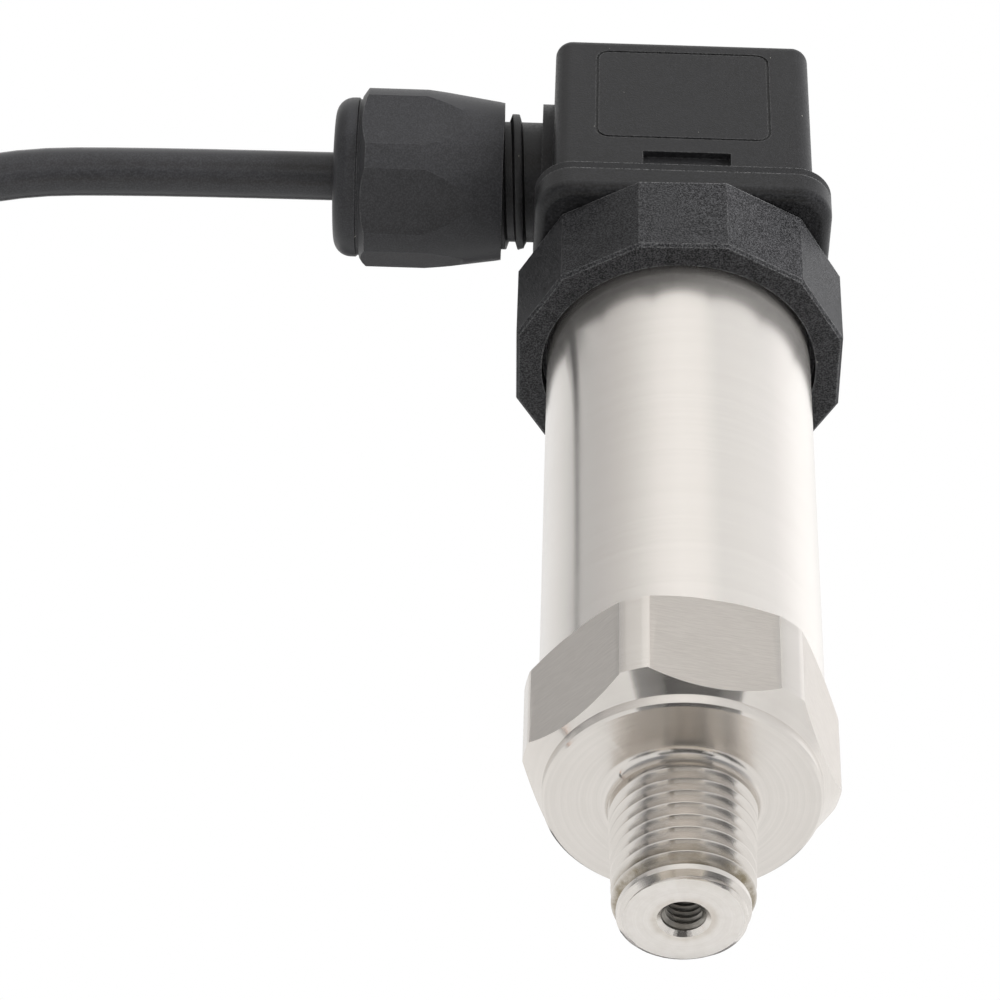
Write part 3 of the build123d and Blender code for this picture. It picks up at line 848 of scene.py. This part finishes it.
def makeSpeckGroup():      # a few cells hold a round speck, each of its own size and strength
    group, start, end = newGroup("dustSpecks", {"Scale": 420.0, "Size": 0.16, "Amount": 0.5}, ["Mask"])
    cells = group.nodes.new("ShaderNodeTexVoronoi")
    group.links.new(start.outputs["Vector"], cells.inputs["Vector"])
    group.links.new(start.outputs["Scale"], cells.inputs["Scale"])
    split = group.nodes.new("ShaderNodeSeparateColor")
    group.links.new(cells.outputs["Color"], split.inputs["Color"])
    chosen = mathNode(group, "LESS_THAN", split.outputs[0], start.outputs["Amount"])
    reach = mathNode(group, "MULTIPLY", split.outputs[1], start.outputs["Size"])
    inside = mathNode(group, "LESS_THAN", cells.outputs["Distance"], reach)
    faint = rangeNode(group, split.outputs[2], 0.0, 1.0, *speckStrength)
    group.links.new(productNode(group, chosen, inside, faint), end.inputs["Mask"])
    return group


turnedLook = {
    "fineDetail": (2.0, 0.7),
    "slowDetail": (2.0, 0.6),
    "slowScale": 0.12,
    "fineShare": 0.6,
    "between": (0.3, 0.7),
}


def makeTurnedGroup():      # marks that run round the axis, so they change with radius and height only
    group, start, end = newGroup("turningMarks", {"Scale": 9000.0}, ["Value", "Height"])
    look = turnedLook
    x, y, z = splitNode(group, start.outputs["Vector"])
    both = group.nodes.new("ShaderNodeCombineXYZ")
    group.links.new(radiusNode(group, x, y), both.inputs[0])
    group.links.new(z, both.inputs[1])
    fine = noiseNode(group, both.outputs[0], start.outputs["Scale"], *look["fineDetail"])
    slowScale = mathNode(group, "MULTIPLY", start.outputs["Scale"], look["slowScale"])
    slow = noiseNode(group, both.outputs[0], slowScale, *look["slowDetail"])
    total = mathNode(group, "ADD", mathNode(group, "MULTIPLY", fine, look["fineShare"]),
                     mathNode(group, "MULTIPLY", slow, 1 - look["fineShare"]))
    group.links.new(rangeNode(group, total, *look["between"]), end.inputs["Value"])
    group.links.new(total, end.inputs["Height"])
    return group


wearAndHighlightLook = {
    "samples": 6,
    "edge": (0.995, 0.93),
    "breakDetail": (4.0, 0.7),
    "breakRange": (0.38, 0.62),
}


def makeWearAndHighlightGroup():      # where a rounded normal leaves the real one, an edge is near; the mask lays a lighter line there, part edge wear and part painted edge highlight
    group, start, end = newGroup("edgeWearAndHighlight", {"Radius": 0.0003, "Amount": 1.0, "Breakup": 900.0}, ["Mask"])
    look = wearAndHighlightLook
    bevel = group.nodes.new("ShaderNodeBevel")
    bevel.samples = look["samples"]
    group.links.new(start.outputs["Radius"], bevel.inputs["Radius"])
    shape = group.nodes.new("ShaderNodeNewGeometry")
    dot = group.nodes.new("ShaderNodeVectorMath")
    dot.operation = "DOT_PRODUCT"
    group.links.new(bevel.outputs["Normal"], dot.inputs[0])
    group.links.new(shape.outputs["Normal"], dot.inputs[1])
    edge = rangeNode(group, dot.outputs["Value"], *look["edge"])
    broken = noiseNode(group, start.outputs["Vector"], start.outputs["Breakup"], *look["breakDetail"])
    broken = rangeNode(group, broken, *look["breakRange"])
    group.links.new(productNode(group, edge, broken, start.outputs["Amount"]), end.inputs["Mask"])
    return group


flatsLook = {
    "upright": 0.2,
    "squeeze": (0.06, 0.06, 1.0),
    "tilt": (0.10, 0.16, 0.0),
    "lineScale": 9000.0,
    "lineDetail": (3.0, 0.7),
    "lineRange": (0.25, 0.75),
}


def makeFlatsGroup():      # the hexagon's flats lie inside the bar's radius and stand upright
    group, start, end = newGroup("milledFlats", {"Inside": 0.01482, "Above": 0.0156}, ["Mask", "Height"])
    look = flatsLook
    x, y, z = splitNode(group, start.outputs["Vector"])
    inside = mathNode(group, "LESS_THAN", radiusNode(group, x, y), start.outputs["Inside"])
    above = mathNode(group, "GREATER_THAN", z, start.outputs["Above"])
    facing = splitNode(group, group.nodes.new("ShaderNodeNewGeometry").outputs["Normal"])
    upright = mathNode(group, "LESS_THAN", mathNode(group, "ABSOLUTE", facing[2]), look["upright"])
    squeeze = group.nodes.new("ShaderNodeMapping")
    squeeze.inputs["Scale"].default_value = look["squeeze"]
    squeeze.inputs["Rotation"].default_value = look["tilt"]
    group.links.new(start.outputs["Vector"], squeeze.inputs["Vector"])
    lines = noiseNode(group, squeeze.outputs[0], look["lineScale"], *look["lineDetail"])
    group.links.new(productNode(group, inside, above, upright), end.inputs["Mask"])
    group.links.new(rangeNode(group, lines, *look["lineRange"]), end.inputs["Height"])
    return group


residueLook = {
    "soft": 0.0003,
    "topSoft": 0.0008,
    "patchScale": 520.0,
    "patchDetail": (4.0, 0.6),
    "patchRange": (0.30, 0.65, 0.4, 1.0),
    "sideRange": (0.0015, 0.0055, 0.5, 1.0),
}


def makeResidueGroup():      # brown patches between two heights, within a radius, stronger at the sides
    group, start, end = newGroup("grooveResidue", {"Low": 0.0015, "High": 0.0036, "Within": 0.00645},
                                 ["Mask"])
    look = residueLook
    low, high, within = (start.outputs[name] for name in ("Low", "High", "Within"))
    x, y, z = splitNode(group, start.outputs["Vector"])
    deep = rangeNode(group, radiusNode(group, x, y), mathNode(group, "ADD", within, look["soft"]),
                     mathNode(group, "SUBTRACT", within, look["soft"]))
    above = mathNode(group, "GREATER_THAN", z, low)
    below = rangeNode(group, z, high, mathNode(group, "SUBTRACT", high, look["topSoft"]))
    patches = noiseNode(group, start.outputs["Vector"], look["patchScale"], *look["patchDetail"])
    patches = rangeNode(group, patches, *look["patchRange"])
    sides = rangeNode(group, mathNode(group, "ABSOLUTE", x), *look["sideRange"])
    group.links.new(productNode(group, deep, above, below, patches, sides), end.inputs["Mask"])
    return group


groups = {
    "flats": makeFlatsGroup(),
    "residue": makeResidueGroup(),
    "grain": makeGrainGroup(),
    "specks": makeSpeckGroup(),
    "turned": makeTurnedGroup(),
    "wearAndHighlight": makeWearAndHighlightGroup(),
}


def useGroup(tree, key, vector, **values):
    node = tree.nodes.new("ShaderNodeGroup")
    node.node_tree = groups[key]
    tree.links.new(vector, node.inputs["Vector"])
    for socket, value in values.items():
        node.inputs[socket].default_value = value
    return node


def startMaterial(name):
    material = bpy.data.materials.new(name)
    material.use_nodes = True
    tree = material.node_tree
    shader = tree.nodes["Principled BSDF"]
    place = tree.nodes.new("ShaderNodeTexCoord")
    return material, tree, shader, place.outputs["Object"]


def addBump(tree, shader, height, strength, distance):
    bump = tree.nodes.new("ShaderNodeBump")
    bump.inputs["Strength"].default_value = strength
    bump.inputs["Distance"].default_value = distance
    tree.links.new(height, bump.inputs["Height"])
    tree.links.new(bump.outputs["Normal"], shader.inputs["Normal"])


# finishes

def addSpecks(tree, vector, colour, look):
    specks = useGroup(tree, "specks", vector, Scale=look["speckScale"], Size=look["speckSize"],
                      Amount=look["specks"])
    return mixColour(tree, specks.outputs["Mask"], colour, look["speckColour"])


plasticSpecular = 0.34


def plasticFinish(name, look):
    material, tree, shader, vector = startMaterial(name)
    grain = useGroup(tree, "grain", vector, Scale=look["grainScale"])
    colour = mixColour(tree, grain.outputs["Grain"], look["dark"], look["light"])
    if "specks" in look:
        colour = addSpecks(tree, vector, colour, look)
    # lighter edges: part edge wear, part painted edge highlight
    if "wearAndHighlight" in look:
        wearAndHighlight = useGroup(tree, "wearAndHighlight", vector, Radius=look["wearAndHighlightRadius"], Amount=look["wearAndHighlight"],
                        Breakup=look["wearAndHighlightBreakup"])
        colour = mixColour(tree, wearAndHighlight.outputs["Mask"], colour, look["wearAndHighlightColour"])
    rough = rangeNode(tree, grain.outputs["Grain"], 0.0, 1.0, *look["roughness"])
    tree.links.new(colour, shader.inputs["Base Color"])
    tree.links.new(rough, shader.inputs["Roughness"])
    shader.inputs["Specular IOR Level"].default_value = look.get("specular", plasticSpecular)
    addBump(tree, shader, grain.outputs["Height"], look["bump"], look["bumpDepth"])
    return material


steelBase = {
    "stainDetail": (5.0, 0.6),
    "stainRange": (0.35, 0.75),
    "marksShare": 0.5,
    "residueRoughness": 0.15,
}


def metalFinish(name, look):
    material, tree, shader, vector = startMaterial(name)
    marks = useGroup(tree, "turned", vector, Scale=look["marksScale"])
    stained = noiseNode(tree, vector, look["stainScale"], *steelBase["stainDetail"])
    stained = rangeNode(tree, stained, *steelBase["stainRange"])
    colour = mixColour(tree, marks.outputs["Value"], look["dark"], look["light"])
    colour = mixColour(tree, mathNode(tree, "MULTIPLY", stained, look["stain"]), colour, look["stainColour"])
    if "specks" in look:
        colour = addSpecks(tree, vector, colour, look)
    share = steelBase["marksShare"]
    rough = mathNode(tree, "ADD", mathNode(tree, "MULTIPLY", marks.outputs["Value"], share),
                     mathNode(tree, "MULTIPLY", stained, 1 - share))
    rough = rangeNode(tree, rough, 0.0, 1.0, *look["roughness"])
    if "flats" in look:
        flats = useGroup(tree, "flats", vector)
        rough = mathNode(tree, "ADD", rough, mathNode(tree, "MULTIPLY", flats.outputs["Mask"], look["flats"]))
        brushed = mixColour(tree, flats.outputs["Height"], look["flatDark"], look["flatLight"])
        colour = mixColour(tree, flats.outputs["Mask"], colour, brushed)
    if "residue" in look:
        residue = useGroup(tree, "residue", vector, **look.get("residueZone", {}))
        amount = mathNode(tree, "MULTIPLY", residue.outputs["Mask"], look["residue"])
        colour = mixColour(tree, amount, colour, look["residueColour"])
        added = mathNode(tree, "MULTIPLY", amount, steelBase["residueRoughness"])
        rough = mathNode(tree, "ADD", rough, added, clamp=True)
    tree.links.new(colour, shader.inputs["Base Color"])
    tree.links.new(rough, shader.inputs["Roughness"])
    shader.inputs["Metallic"].default_value = look.get("metallic", 1.0)
    if "anisotropic" in look:
        shader.inputs["Anisotropic"].default_value = look["anisotropic"]
        shader.inputs["Anisotropic Rotation"].default_value = look["turn"]
        tangent = tree.nodes.new("ShaderNodeTangent")
        tangent.direction_type = "RADIAL"
        tangent.axis = "Z"
        tree.links.new(tangent.outputs["Tangent"], shader.inputs["Tangent"])
    addBump(tree, shader, marks.outputs["Height"], look["bump"], look["bumpDepth"])
    return material


portSteel = {
    "dark": (0.70, 0.665, 0.625), "light": (0.75, 0.715, 0.675), "marksScale": 6000.0,
    "stainScale": 160.0, "stain": 0.22, "stainColour": (0.65, 0.61, 0.565),
    "roughness": (0.15, 0.19), "anisotropic": 1.0, "turn": 0.25, "metallic": 0.96,
    "bump": 0.04, "bumpDepth": 0.00001,
    "flats": 0.16, "flatDark": (0.65, 0.61, 0.57), "flatLight": (0.75, 0.71, 0.665),
    "residue": 0.9, "residueColour": (0.21, 0.165, 0.085),
}
# the bore thread's steel is far darker than the port's outside: painted shade inside the hole, with darker
# stain patches
borePaintedShade = {
    "dark": (0.22, 0.21, 0.19), "light": (0.38, 0.36, 0.33), "marksScale": 6000.0,
    "stainScale": 700.0, "stain": 0.4, "stainColour": (0.10, 0.085, 0.07),
    "roughness": (0.30, 0.42), "metallic": 0.9, "bump": 0.06, "bumpDepth": 0.00001,
}
noseSteel = {
    "dark": (0.68, 0.65, 0.615), "light": (0.75, 0.72, 0.685), "marksScale": 5200.0,
    "stainScale": 900.0, "stain": 0.35, "stainColour": (0.62, 0.585, 0.54),
    "specks": 0.10, "speckScale": 900.0, "speckSize": 0.07, "speckColour": (0.20, 0.13, 0.07),
    "roughness": (0.38, 0.50), "metallic": 0.80, "bump": 0.10, "bumpDepth": 0.00001,
    "residue": 0.5, "residueColour": (0.30, 0.22, 0.13),
    "residueZone": {"Low": -0.001, "High": 0.0015, "Within": 0.0030},
}
tubeSteel = {
    "dark": (0.742, 0.709, 0.671), "light": (0.770, 0.737, 0.700), "marksScale": 7000.0,
    "stainScale": 120.0, "stain": 0.10, "stainColour": (0.76, 0.72, 0.675),
    "roughness": (0.13, 0.16), "anisotropic": 1.0, "turn": 0.25, "metallic": 0.91,
    "bump": 0.01, "bumpDepth": 0.00001,
}
screwSteel = {
    "dark": (0.55, 0.55, 0.56), "light": (0.70, 0.70, 0.71), "marksScale": 9000.0,
    "stainScale": 300.0, "stain": 0.15, "stainColour": (0.50, 0.48, 0.44),
    "roughness": (0.22, 0.38), "bump": 0.08, "bumpDepth": 0.00001,
}
tinnedCopper = {
    "dark": (0.66, 0.65, 0.61), "light": (0.78, 0.77, 0.73), "marksScale": 2500.0,
    "stainScale": 400.0, "stain": 0.2, "stainColour": (0.58, 0.55, 0.50),
    "roughness": (0.22, 0.36), "bump": 0.05, "bumpDepth": 0.00001,
}
insertBrass = {
    "dark": (0.62, 0.44, 0.20), "light": (0.78, 0.60, 0.32), "marksScale": 8000.0,
    "stainScale": 300.0, "stain": 0.2, "stainColour": (0.48, 0.34, 0.18),
    "roughness": (0.22, 0.36), "bump": 0.08, "bumpDepth": 0.00001,
}

# pale dust on the outer mouldings, and the scale that breaks up the light line along their edges, a line of
# edge wear and painted edge highlight
paleDust = {
    "specks": 0.06, "speckScale": 640.0, "speckSize": 0.075, "speckColour": (0.34, 0.33, 0.29),
    "wearAndHighlightBreakup": 4200.0,
}
collarPlastic = {
    "dark": (0.004, 0.004, 0.0045), "light": (0.048, 0.048, 0.050), "grainScale": 6200.0,
    **paleDust,
    "wearAndHighlight": 0.8, "wearAndHighlightRadius": 0.00026, "wearAndHighlightColour": (0.13, 0.13, 0.13),
    "specular": 0.13, "roughness": (0.40, 0.60), "bump": 0.5, "bumpDepth": 0.00004,
}
basePlastic = {
    "dark": (0.004, 0.004, 0.0043), "light": (0.013, 0.013, 0.014), "grainScale": 4600.0,
    **paleDust,
    "wearAndHighlight": 0.40, "wearAndHighlightRadius": 0.00025, "wearAndHighlightColour": (0.08, 0.08, 0.08),
    "roughness": (0.36, 0.50), "bump": 0.25, "bumpDepth": 0.00002,
}
plugPlastic = {
    "dark": (0.005, 0.005, 0.0054), "light": (0.015, 0.015, 0.0159), "grainScale": 4600.0,
    **paleDust,
    "wearAndHighlight": 0.40, "wearAndHighlightRadius": 0.00025, "wearAndHighlightColour": (0.08, 0.08, 0.08),
    "roughness": (0.40, 0.56), "bump": 0.3, "bumpDepth": 0.00002,
}
nutPlastic = {
    "dark": (0.016, 0.016, 0.0172), "light": (0.029, 0.029, 0.0312), "grainScale": 5600.0,
    **paleDust,
    "wearAndHighlight": 0.70, "wearAndHighlightRadius": 0.00018, "wearAndHighlightColour": (0.08, 0.08, 0.08),
    "specular": 0.22, "roughness": (0.38, 0.48), "bump": 0.15, "bumpDepth": 0.00002,
}
gasketRubber = {
    "dark": (0.005, 0.005, 0.0053), "light": (0.017, 0.017, 0.018), "grainScale": 4600.0,
    **paleDust,
    "wearAndHighlight": 0.8, "wearAndHighlightRadius": 0.00015, "wearAndHighlightColour": (0.15, 0.15, 0.15),
    "roughness": (0.55, 0.75), "bump": 0.3, "bumpDepth": 0.00002,
}
sealRubber = {
    "dark": (0.018, 0.018, 0.019), "light": (0.032, 0.032, 0.034), "grainScale": 2400.0,
    "roughness": (0.5, 0.65), "bump": 0.2, "bumpDepth": 0.00002,
}
cellCeramic = {
    "dark": (0.78, 0.77, 0.74), "light": (0.88, 0.87, 0.84), "grainScale": 3000.0,
    "roughness": (0.45, 0.6), "bump": 0.15, "bumpDepth": 0.00001,
}
boardLaminate = {
    "dark": (0.02, 0.13, 0.05), "light": (0.04, 0.20, 0.08), "grainScale": 2600.0,
    "roughness": (0.28, 0.4), "bump": 0.15, "bumpDepth": 0.00001,
}
chipResin = {
    "dark": (0.022, 0.022, 0.024), "light": (0.045, 0.045, 0.047), "grainScale": 3600.0,
    "roughness": (0.4, 0.55), "bump": 0.2, "bumpDepth": 0.00001,
}
wireInsulation = {
    "dark": (0.38, 0.05, 0.03), "light": (0.52, 0.08, 0.05), "grainScale": 1600.0,
    "roughness": (0.35, 0.5), "bump": 0.1, "bumpDepth": 0.00001,
}
terminalPlastic = {
    "dark": (0.28, 0.285, 0.29), "light": (0.38, 0.385, 0.39), "grainScale": 2600.0,
    "roughness": (0.4, 0.55), "bump": 0.2, "bumpDepth": 0.00002,
}
slipNylon = {
    "dark": (0.68, 0.68, 0.65), "light": (0.80, 0.80, 0.77), "grainScale": 2600.0,
    "roughness": (0.35, 0.5), "bump": 0.15, "bumpDepth": 0.00001,
}
cableJacket = {
    "dark": (0.012, 0.012, 0.013), "light": (0.026, 0.026, 0.0285), "grainScale": 5200.0,
    "specular": 0.4, "roughness": (0.30, 0.42), "bump": 0.1, "bumpDepth": 0.00002,
}
tieNylon = {
    "dark": (0.016, 0.016, 0.017), "light": (0.03, 0.03, 0.032), "grainScale": 2200.0,
    "roughness": (0.3, 0.45), "bump": 0.15, "bumpDepth": 0.00001,
}
coreInsulation = {
    "dark": (0.24, 0.10, 0.04), "light": (0.36, 0.16, 0.07), "grainScale": 2200.0,
    "roughness": (0.35, 0.5), "bump": 0.1, "bumpDepth": 0.00001,
}

finishes = {
    "port_steel": metalFinish("turnedPortSteel", portSteel),
    "tube_steel": metalFinish("drawnTubeSteel", tubeSteel),
    "screw_steel": metalFinish("platedScrewSteel", screwSteel),
    "tinned_copper": metalFinish("tinnedCopper", tinnedCopper),
    "insert_brass": metalFinish("machinedBrass", insertBrass),
    "glass_filled_plastic": plasticFinish("glassFilledPlastic", collarPlastic),
    "base_plastic": plasticFinish("basePlastic", basePlastic),
    "plug_plastic": plasticFinish("plugPlastic", plugPlastic),
    "nut_plastic": plasticFinish("nutPlastic", nutPlastic),
    "gasket_rubber": plasticFinish("gasketRubber", gasketRubber),
    "seal_rubber": plasticFinish("sealRubber", sealRubber),
    "cell_ceramic": plasticFinish("cellCeramic", cellCeramic),
    "board_laminate": plasticFinish("boardLaminate", boardLaminate),
    "component_resin": plasticFinish("chipResin", chipResin),
    "wire_insulation": plasticFinish("wireInsulation", wireInsulation),
    "terminal_plastic": plasticFinish("terminalPlastic", terminalPlastic),
    "slip_plastic": plasticFinish("slipNylon", slipNylon),
    "cable_jacket": plasticFinish("cableJacket", cableJacket),
    "tie_nylon": plasticFinish("tieNylon", tieNylon),
    "core_insulation": plasticFinish("coreInsulation", coreInsulation),
}


def giveFinishes():
    for part in frame["record"]["subparts"]:
        holder = nodes[part["node"]]
        for index in range(len(holder.data.materials)):
            holder.data.materials[index] = finishes[part["material_slot"]]
    steel = finishes["port_steel"]
    own = [(boreRidges, metalFinish("borePaintedShadeSteel", borePaintedShade)), (portBody, steel), (pipeRidges, steel),
           (pipeRidges, metalFinish("blastedNoseSteel", noseSteel)), (glandNutBody, finishes["nut_plastic"]),
           (screwSeal, finishes["seal_rubber"]), (glandRidges, finishes["plug_plastic"]),
           (plugShell, finishes["plug_plastic"]), (leadCable, finishes["cable_jacket"])]
    for piece, finish in own + [(core, finishes["core_insulation"]) for core in freeCores]:
        piece.data.materials.append(finish)
    for index in noseFaces:
        pipeRidges.data.polygons[index].material_index = 1      # the nose's end face is blasted


giveFinishes()
print("finishes given")

bpy.context.view_layer.update()
